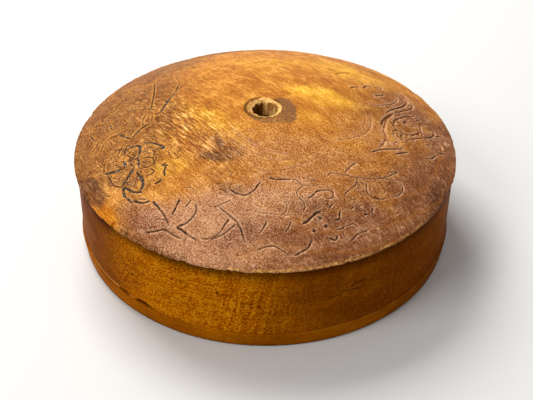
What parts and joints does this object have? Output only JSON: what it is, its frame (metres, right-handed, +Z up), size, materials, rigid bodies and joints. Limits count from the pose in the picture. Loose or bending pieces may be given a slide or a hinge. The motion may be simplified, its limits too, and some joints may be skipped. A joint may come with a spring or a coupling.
{
  "type": "round wooden box",
  "caption": "Round wooden box: a bent wooden hoop on a rebated disc base, closed by a domed, carved lift-off lid with a hole where its knob was.",
  "frame": {"origin": "middle of the base's underside, on the surface that the box stands on", "axes": "+Z up along the box's axis; -Y towards the picture's viewer, +X to the viewer's right"},
  "size_m": [0.18, 0.18, 0.0667],
  "materials": {
    "base_wood": "dark amber varnish, worn at the foot",
    "wall_wood": "glossy amber varnish over bent wood, darker at one side",
    "lid_wood": "worn satin wood, honey coloured at the middle and dusty brown at the rim, incised foliage"
  },
  "bodies": {
    "box": {"base_disc": "base_wood", "wall_hoop": "wall_wood"},
    "lid": {"lid": "lid_wood"}
  },
  "joints": [
    {"name": "lid_lift", "type": "slide", "parent": "box", "child": "lid", "axis": [0, 0, 1], "range_m": [0, 0.1]}
  ]
}
